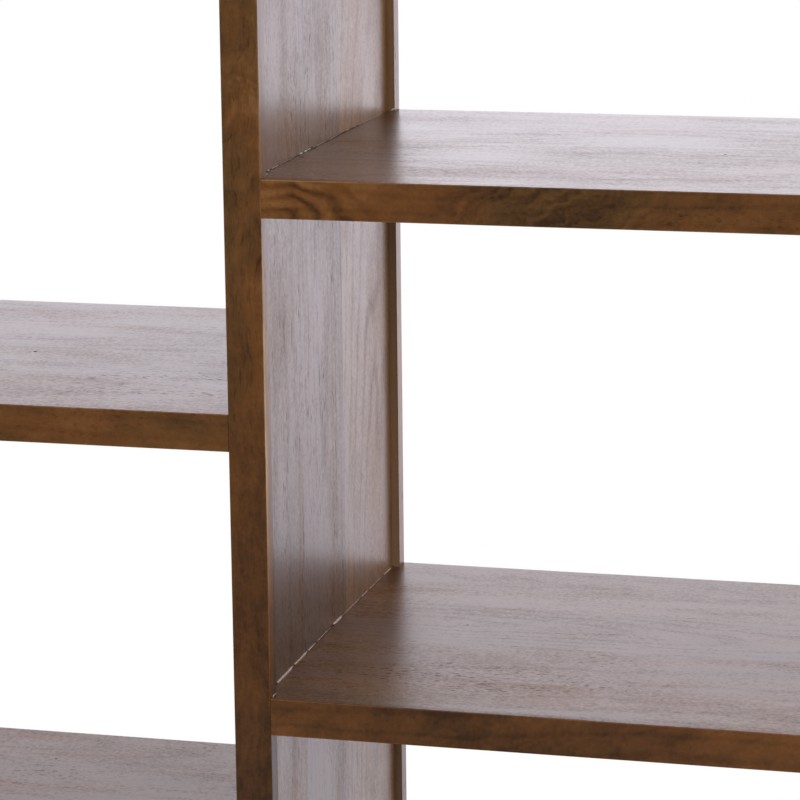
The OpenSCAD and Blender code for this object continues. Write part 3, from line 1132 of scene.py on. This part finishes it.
class SHELVING_OT_set_stage(ShelvingBuilder, bpy.types.Operator):
    """Set up the pale floor, the soft light, the white surroundings and the camera"""

    bl_idname = "shelving.set_stage"
    bl_label = "Set the Stage"

    def execute(self, context):
        studio = context.scene.shelving_studio
        context.scene.view_settings.view_transform = "Standard"
        self.light_room(context.scene, studio)
        self.lay_floor(studio)
        for name in ("key", "fill"):
            self.hang_lamp(name, studio)
        self.place_camera(context.scene, studio)
        return {"FINISHED"}

    def light_room(self, scene, studio):
        """White behind the object. Its gloss sees pale surroundings, dark low on the camera's side."""
        world = bpy.data.worlds.new("studio_surroundings")
        world.use_nodes = True
        scene.world = world
        graph = Graph(world.node_tree)
        direction = graph.add("ShaderNodeTexCoord", output="Generated")
        side, back, up = graph.split(direction)
        # Behind the object: low down, and higher up on the left and on the right
        below = graph.blend(up.ramp(-0.27, -0.15), (0.92, 0.84, 0.92), (1.55, 1.45, 1.58))
        bright = graph.blend(side.ramp(-0.27, -0.15), (2.25, 2.20, 2.38), (2.00, 1.99, 2.15))
        even = graph.blend(side.ramp(-0.29, -0.20), (0.78, 0.72, 0.78), (1.36, 1.28, 1.40))
        soft = graph.blend(up.ramp(0.145, 0.20), bright, even)
        left = graph.blend(up.ramp(0.28, 0.33), soft, (1.02, 0.88, 0.91))
        right = graph.blend(up.ramp(0.12, 0.34), (1.32, 1.02, 0.95), (0.40, 0.27, 0.23))
        above = graph.blend(side.ramp(-0.12, 0.14), left, right)
        behind = graph.blend(up.ramp(-0.03, 0.05), below, above)
        # On the camera's side: dark, and pale higher up
        front = graph.blend(up.ramp(0.10, 0.30), (0.02, 0.016, 0.012), (1.05, 0.96, 1.00))
        mirrored = graph.blend(back.ramp(-0.1, 0.6), front, behind)
        plain = (studio.room_light,) * 3
        rays = graph.add("ShaderNodeLightPath")
        glossy, seen = rays.sibling("Is Glossy Ray"), rays.sibling("Is Camera Ray")
        shade = graph.blend(seen, graph.blend(glossy, plain, mirrored), (1.0, 1.0, 1.0))
        background = graph.add("ShaderNodeBackground", {}, {"Color": shade, "Strength": 1.0})
        graph.add("ShaderNodeOutputWorld", {}, {"Surface": background})

    def lay_floor(self, studio):
        """A pale disc that keeps the object's shadow and fades into the white round its rim."""
        bm = bmesh.new()
        bmesh.ops.create_circle(bm, cap_ends=True, segments=96, radius=studio.floor_radius)
        mesh = bpy.data.meshes.new("floor")
        bm.to_mesh(mesh)
        bm.free()
        floor = bpy.data.objects.new("floor", mesh)
        bpy.context.scene.collection.objects.link(floor)
        floor.location.z = cad_low.z
        material, graph = new_material("pale_floor")
        place = graph.add("ShaderNodeTexCoord", output="Object")
        rim = graph.distance(place).ramp(0.62 * studio.floor_radius, 0.98 * studio.floor_radius)
        pale = (*(studio.floor_shade,) * 3, 1.0)
        matt = graph.add("ShaderNodeBsdfDiffuse", {}, {"Color": pale})
        white = graph.add("ShaderNodeEmission", {}, {"Color": (1, 1, 1, 1), "Strength": 1.0})
        mixed = graph.add("ShaderNodeMixShader", {}, {0: rim, 1: matt, 2: white})
        graph.add("ShaderNodeOutputMaterial", {}, {"Surface": mixed})
        mesh.materials.append(material)

    def hang_lamp(self, name, studio):
        """A soft round lamp, which the gloss of the lacquer doesn't mirror."""
        place = Vector(getattr(studio, f"{name}_place"))
        target = Vector(getattr(studio, f"{name}_target"))
        lamp = bpy.data.lights.new(f"{name}_lamp", "AREA")
        lamp.shape = "DISK"
        lamp.size = studio.lamp_size
        lamp.energy = getattr(studio, f"{name}_power")
        holder = bpy.data.objects.new(f"{name}_lamp", lamp)
        bpy.context.scene.collection.objects.link(holder)
        holder.location = place
        holder.rotation_euler = (target - place).to_track_quat("-Z", "Y").to_euler()
        holder.visible_glossy = False

    def place_camera(self, scene, studio):
        """The photograph's camera: turned to the left, tipped down and very slightly rolled."""
        lens = bpy.data.cameras.new("camera")
        lens.sensor_width = studio.sensor_width
        lens.lens = studio.focal_length
        camera = bpy.data.objects.new("camera", lens)
        scene.collection.objects.link(camera)
        camera.location = studio.camera_place
        camera.rotation_euler = studio.camera_turn
        scene.camera = camera


class SHELVING_PT_parts(bpy.types.Panel):
    """Lists the steps that build the shelving unit and its studio"""

    bl_idname = "SHELVING_PT_parts"
    bl_label = "Shelving Unit"
    bl_space_type = "VIEW_3D"
    bl_region_type = "UI"
    bl_category = "Shelving"

    def draw(self, context):
        for operator in BUILD_STEPS:
            self.layout.operator(operator.bl_idname)
        for group in SETTINGS:
            settings = getattr(context.scene, group)
            box = self.layout.box()
            for key in settings.bl_rna.properties.keys():
                if key not in ("rna_type", "name"):
                    box.prop(settings, key)


SETTINGS = {
    "shelving_boards": BoardSettings,
    "shelving_finish": FinishSettings,
    "shelving_studio": StudioSettings,
}
BUILD_STEPS = (
    SHELVING_OT_make_uprights,
    SHELVING_OT_make_boards,
    SHELVING_OT_make_rails,
    SHELVING_OT_fill_joints,
    SHELVING_OT_finish_fittings,
    SHELVING_OT_set_stage,
)


def register():
    for kind in (*SETTINGS.values(), *BUILD_STEPS, SHELVING_PT_parts):
        bpy.utils.register_class(kind)
    for key, kind in SETTINGS.items():
        setattr(bpy.types.Scene, key, bpy.props.PointerProperty(type=kind))


def unregister():
    for key in SETTINGS:
        delattr(bpy.types.Scene, key)
    for kind in (SHELVING_PT_parts, *reversed(BUILD_STEPS), *SETTINGS.values()):
        bpy.utils.unregister_class(kind)


def main():
    register()
    bpy.ops.shelving.make_uprights()
    bpy.ops.shelving.make_boards()
    bpy.ops.shelving.make_rails()
    bpy.ops.shelving.fill_joints()
    bpy.ops.shelving.finish_fittings()
    bpy.ops.shelving.set_stage()
    bpy.context.view_layer.update()


if __name__ == "__main__":
    main()
